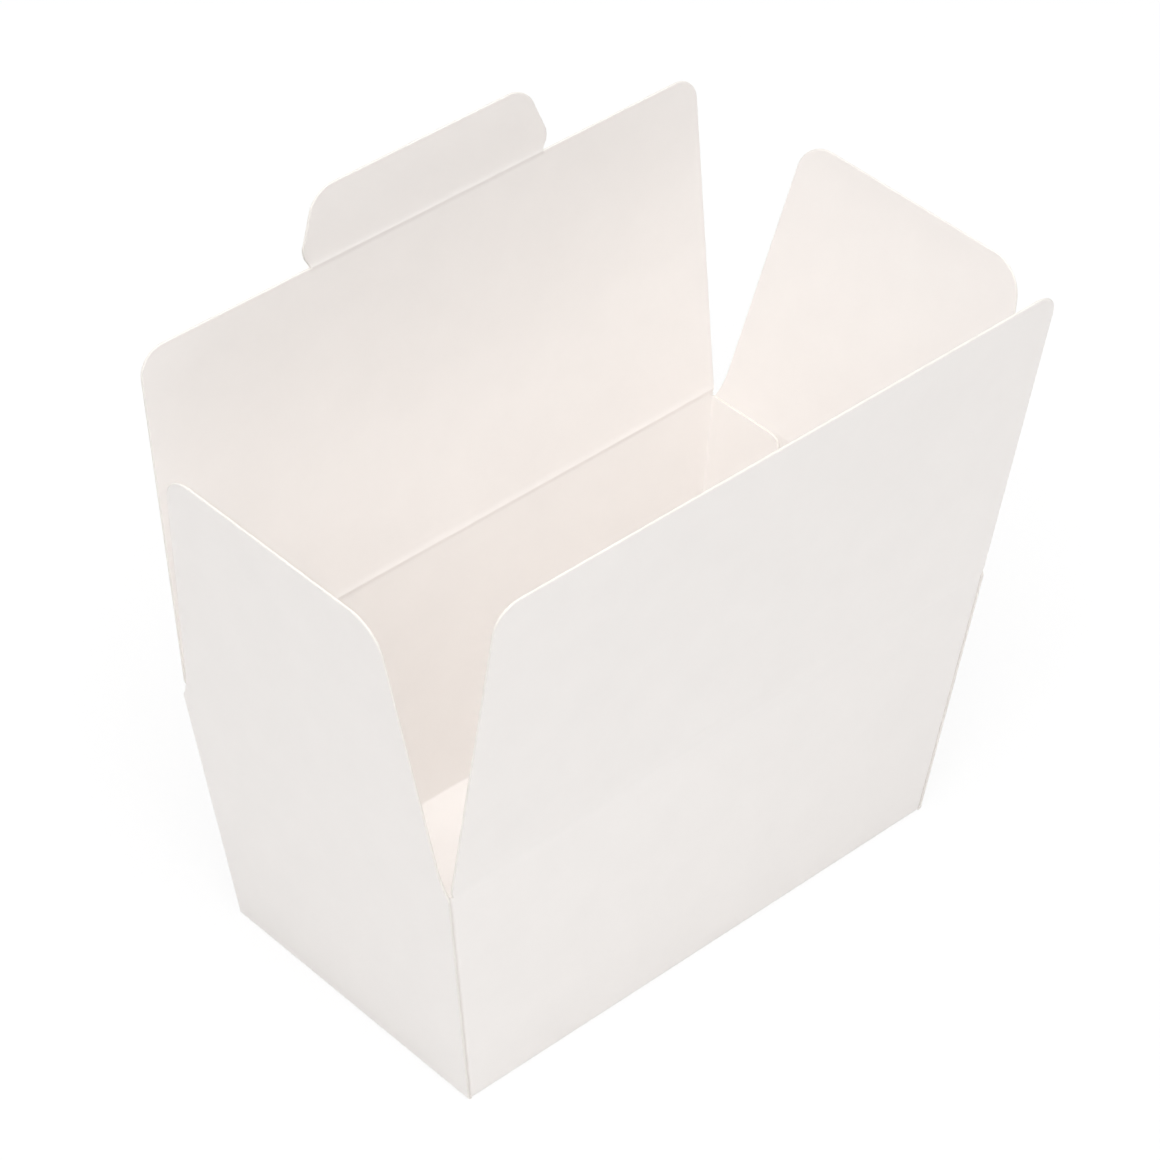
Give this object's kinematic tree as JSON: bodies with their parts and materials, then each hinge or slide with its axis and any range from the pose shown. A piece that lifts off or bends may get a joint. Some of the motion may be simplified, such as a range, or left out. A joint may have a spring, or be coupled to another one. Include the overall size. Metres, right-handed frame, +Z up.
{
  "type": "candy box",
  "caption": "Tapered folding-card candy box, standing open: lid flaps that lock with a tongue and slit, and narrower end flaps that fold in under them.",
  "frame": {"origin": "middle of the base's underside, on the surface that the box stands on", "axes": "+X along the base's length towards the right end flap, -Y towards the front flap with the slit, +Z up"},
  "size_m": [0.1314, 0.0806, 0.122],
  "materials": {
    "card": "satin white coating outside, matt white inside"
  },
  "bodies": {
    "tray": {"tray": "card"},
    "front_flap": {"front_flap": "card"},
    "back_flap": {"back_flap": "card"},
    "tuck_tongue": {"tuck_tongue": "card"},
    "left_end_flap": {"left_end_flap": "card"},
    "right_end_flap": {"right_end_flap": "card"}
  },
  "joints": [
    {"name": "front_flap_fold", "type": "hinge", "parent": "tray", "child": "front_flap", "pos_m": [0, -0.03096, 0.0503], "axis": [-1, 0, 0], "range_deg": [-30, 99.1]},
    {"name": "back_flap_fold", "type": "hinge", "parent": "tray", "child": "back_flap", "pos_m": [0, 0.03101, 0.0509], "axis": [1, 0, 0], "range_deg": [-30, 96.9]},
    {"name": "tongue_fold", "type": "hinge", "parent": "back_flap", "child": "tuck_tongue", "pos_m": [0, 0.03812, 0.10972], "axis": [1, 0, 0], "range_deg": [-33.01, 106.6]},
    {"name": "left_end_flap_fold", "type": "hinge", "parent": "tray", "child": "left_end_flap", "pos_m": [-0.05657, 0, 0.0497], "axis": [0, 1, 0], "range_deg": [-30, 97.6]},
    {"name": "right_end_flap_fold", "type": "hinge", "parent": "tray", "child": "right_end_flap", "pos_m": [0.05657, 0, 0.0497], "axis": [0, -1, 0], "range_deg": [-30, 102.4]}
  ],
  "couplings": [
    {"joint": "tongue_fold", "follows": "back_flap_fold", "ratio": 1.1}
  ]
}
